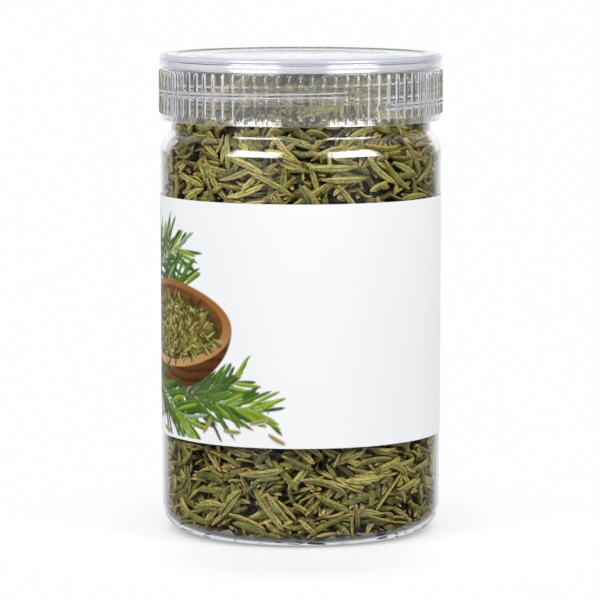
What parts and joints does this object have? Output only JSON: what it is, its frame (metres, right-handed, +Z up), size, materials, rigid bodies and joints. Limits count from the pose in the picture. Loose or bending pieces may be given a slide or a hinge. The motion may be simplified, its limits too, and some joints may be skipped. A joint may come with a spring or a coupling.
{
  "type": "spice jar of dried rosemary",
  "caption": "Clear plastic screw-top jar with a ribbed clear lid, a wrap-round paper label and a filling of loose dried rosemary leaves.",
  "frame": {"origin": "centre of the ring the jar stands on, at the bottom of the bounding box", "axes": "+Z up along the jar's axis, through the lid; -Y is the front, opposite the label's seam"},
  "size_m": [0.0886, 0.0886, 0.1495],
  "materials": {
    "clear_pet": "gloss",
    "clear_styrene": "gloss",
    "white_foam": "matte",
    "label_paper": "satin",
    "dried_herb": "matte",
    "dried_leaf": "matte",
    "dried_stem": "matte"
  },
  "bodies": {
    "jar": {"jar": "clear_pet", "label": "label_paper", "rosemary_bed": "dried_herb", "leaf_high_01": "dried_leaf", "leaf_high_02": "dried_leaf", "leaf_high_03": "dried_leaf", "leaf_high_04": "dried_leaf", "leaf_high_05": "dried_leaf", "leaf_high_06": "dried_leaf", "leaf_high_07": "dried_leaf", "leaf_high_08": "dried_leaf", "leaf_high_09": "dried_leaf", "leaf_high_10": "dried_leaf", "leaf_high_11": "dried_leaf", "leaf_high_12": "dried_leaf", "leaf_high_13": "dried_leaf", "leaf_high_14": "dried_leaf", "leaf_high_15": "dried_leaf", "leaf_low_01": "dried_leaf", "leaf_low_02": "dried_leaf", "leaf_low_03": "dried_leaf", "leaf_low_04": "dried_leaf", "leaf_low_05": "dried_leaf", "leaf_low_06": "dried_leaf", "leaf_low_07": "dried_leaf", "leaf_low_08": "dried_leaf", "leaf_low_09": "dried_leaf", "leaf_low_10": "dried_leaf", "leaf_low_11": "dried_leaf", "leaf_low_12": "dried_leaf", "leaf_low_13": "dried_leaf", "leaf_low_14": "dried_leaf", "leaf_low_15": "dried_leaf", "leaf_low_16": "dried_leaf", "leaf_neck_01": "dried_leaf", "leaf_neck_02": "dried_leaf", "leaf_neck_03": "dried_leaf", "leaf_neck_04": "dried_leaf", "leaf_neck_05": "dried_leaf", "leaf_neck_06": "dried_leaf", "leaf_neck_07": "dried_leaf", "leaf_neck_08": "dried_leaf", "leaf_top_01": "dried_leaf", "leaf_top_02": "dried_leaf", "leaf_top_03": "dried_leaf", "leaf_top_04": "dried_leaf", "leaf_top_05": "dried_leaf", "leaf_top_06": "dried_leaf", "leaf_top_07": "dried_leaf", "leaf_top_08": "dried_leaf", "leaf_top_09": "dried_leaf", "leaf_top_10": "dried_leaf", "stem_bit_1": "dried_stem", "stem_bit_2": "dried_stem", "stem_bit_3": "dried_stem"},
    "seal": {"lid_liner": "white_foam"},
    "lid": {"lid": "clear_styrene"}
  },
  "joints": [
    {"name": "lid_rise", "type": "slide", "parent": "jar", "child": "seal", "axis": [0, 0, 1], "range_m": [0, 0.0053]},
    {"name": "lid_turn", "type": "hinge", "parent": "seal", "child": "lid", "pos_m": [0, 0, 0.139], "axis": [0, 0, 1], "range_deg": [0, 450]}
  ],
  "couplings": [
    {"joint": "lid_rise", "follows": "lid_turn", "m_per_rad": 0.00066845}
  ]
}
